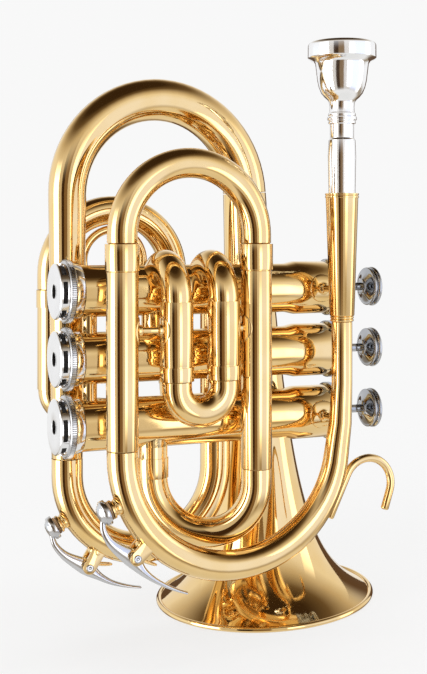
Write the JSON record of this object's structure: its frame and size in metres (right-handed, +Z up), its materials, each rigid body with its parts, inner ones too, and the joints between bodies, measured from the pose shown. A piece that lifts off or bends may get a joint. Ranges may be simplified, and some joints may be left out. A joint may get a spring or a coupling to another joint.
{
  "type": "pocket trumpet",
  "caption": "Pocket trumpet with a tightly wound lacquered brass tube, piston valves lying across, pull slides and a silver mouthpiece, standing on its bell.",
  "frame": {"origin": "on the plane of the bell rim, under the middle of the overall box", "axes": "+Z up along the bell axis, away from the rim; +X roughly along the valves, from the bottom caps to the finger buttons; +Y away from the leadpipe, towards the bell"},
  "size_m": [0.1446, 0.1128, 0.2329],
  "materials": {
    "gold_lacquer": "polished brass under clear gold lacquer",
    "silver_plate": "polished silver plate",
    "nickel": "polished nickel plate",
    "spring_steel": "bare drawn wire",
    "cork": "natural cork"
  },
  "bodies": {
    "trumpet": {"bell": "gold_lacquer", "bell_bow": "gold_lacquer", "bell_tail": "gold_lacquer", "brace_casing_to_bell": "gold_lacquer", "brace_casing_to_leadpipe": "gold_lacquer", "brace_casing_to_receiver": "gold_lacquer", "brace_first_to_tuning": "gold_lacquer", "brace_tuning_to_first": "gold_lacquer", "finger_hook": "gold_lacquer", "first_slide_arch_left": "gold_lacquer", "first_slide_arch_right": "gold_lacquer", "inlet_bow": "gold_lacquer", "inlet_port": "gold_lacquer", "knuckle_lower": "gold_lacquer", "knuckle_upper": "gold_lacquer", "lead_key_nipple": "gold_lacquer", "lead_key_saddle": "gold_lacquer", "lead_key_screw": "nickel", "leadpipe": "gold_lacquer", "mouthpiece_receiver": "gold_lacquer", "second_slide_sleeve_left": "gold_lacquer", "second_slide_sleeve_right": "gold_lacquer", "tail_key_nipple": "gold_lacquer", "tail_key_saddle": "gold_lacquer", "tail_key_screw": "nickel", "third_slide_tube_left": "gold_lacquer", "third_slide_tube_right": "gold_lacquer", "tuning_sleeve_left": "gold_lacquer", "tuning_sleeve_right": "gold_lacquer", "valve_1_bottom_cap": "silver_plate", "valve_1_casing": "gold_lacquer", "valve_1_spring": "spring_steel", "valve_1_top_cap": "nickel", "valve_2_bottom_cap": "silver_plate", "valve_2_casing": "gold_lacquer", "valve_2_spring": "spring_steel", "valve_2_top_cap": "nickel", "valve_3_bottom_cap": "silver_plate", "valve_3_casing": "gold_lacquer", "valve_3_spring": "spring_steel", "valve_3_top_cap": "nickel"},
    "mouthpiece": {"mouthpiece": "silver_plate"},
    "tuning_slide": {"tuning_slide": "gold_lacquer"},
    "first_slide": {"first_slide_crook": "gold_lacquer"},
    "second_slide": {"second_slide_crook": "gold_lacquer"},
    "third_slide": {"third_slide_crook": "gold_lacquer", "finger_ring": "gold_lacquer"},
    "lead_key": {"lead_key_lever": "silver_plate", "lead_key_cork": "cork"},
    "tail_key": {"tail_key_lever": "silver_plate", "tail_key_cork": "cork"},
    "valve_1_piston": {"valve_1_piston": "nickel", "valve_1_stem": "nickel", "valve_1_button": "nickel"},
    "valve_2_piston": {"valve_2_piston": "nickel", "valve_2_stem": "nickel", "valve_2_button": "nickel"},
    "valve_3_piston": {"valve_3_piston": "nickel", "valve_3_stem": "nickel", "valve_3_button": "nickel"}
  },
  "joints": [
    {"name": "mouthpiece_pull", "type": "slide", "parent": "trumpet", "child": "mouthpiece", "axis": [0.0557, 0.0039, 0.9984], "range_m": [0, 0.03]},
    {"name": "tuning_slide_pull", "type": "slide", "parent": "trumpet", "child": "tuning_slide", "axis": [0.0557, 0.0039, 0.9984], "range_m": [0, 0.03]},
    {"name": "first_slide_pull", "type": "slide", "parent": "trumpet", "child": "first_slide", "axis": [-0.0557, -0.0039, -0.9984], "range_m": [0, 0.018]},
    {"name": "second_slide_pull", "type": "slide", "parent": "trumpet", "child": "second_slide", "axis": [-0.0001, 1, -0.0039], "range_m": [0, 0.01]},
    {"name": "third_slide_pull", "type": "slide", "parent": "trumpet", "child": "third_slide", "axis": [0.0557, 0.0039, 0.9984], "range_m": [0, 0.022]},
    {"name": "valve_1_press", "type": "slide", "parent": "trumpet", "child": "valve_1_piston", "axis": [-0.9984, 0.0001, 0.0557], "range_m": [0, 0.0135], "stiffness_N_per_m": 150, "springref_m": -0.012, "deforming": ["valve_1_spring"]},
    {"name": "valve_2_press", "type": "slide", "parent": "trumpet", "child": "valve_2_piston", "axis": [-0.9984, 0.0001, 0.0557], "range_m": [0, 0.0135], "stiffness_N_per_m": 150, "springref_m": -0.012, "deforming": ["valve_2_spring"]},
    {"name": "valve_3_press", "type": "slide", "parent": "trumpet", "child": "valve_3_piston", "axis": [-0.9984, 0.0001, 0.0557], "range_m": [0, 0.0135], "stiffness_N_per_m": 150, "springref_m": -0.012, "deforming": ["valve_3_spring"]},
    {"name": "lead_key_press", "type": "hinge", "parent": "trumpet", "child": "lead_key", "pos_m": [-0.05022, -0.04352, 0.04233], "axis": [0.0001, -1, 0.0039], "range_deg": [0, 9], "stiffness_Nm_per_rad": 0.02, "springref_deg": -20.05},
    {"name": "tail_key_press", "type": "hinge", "parent": "trumpet", "child": "tail_key", "pos_m": [-0.05535, 0.0029, 0.02744], "axis": [-0.0377, -0.9993, 0.006], "range_deg": [0, 12], "stiffness_Nm_per_rad": 0.02, "springref_deg": -20.05}
  ]
}
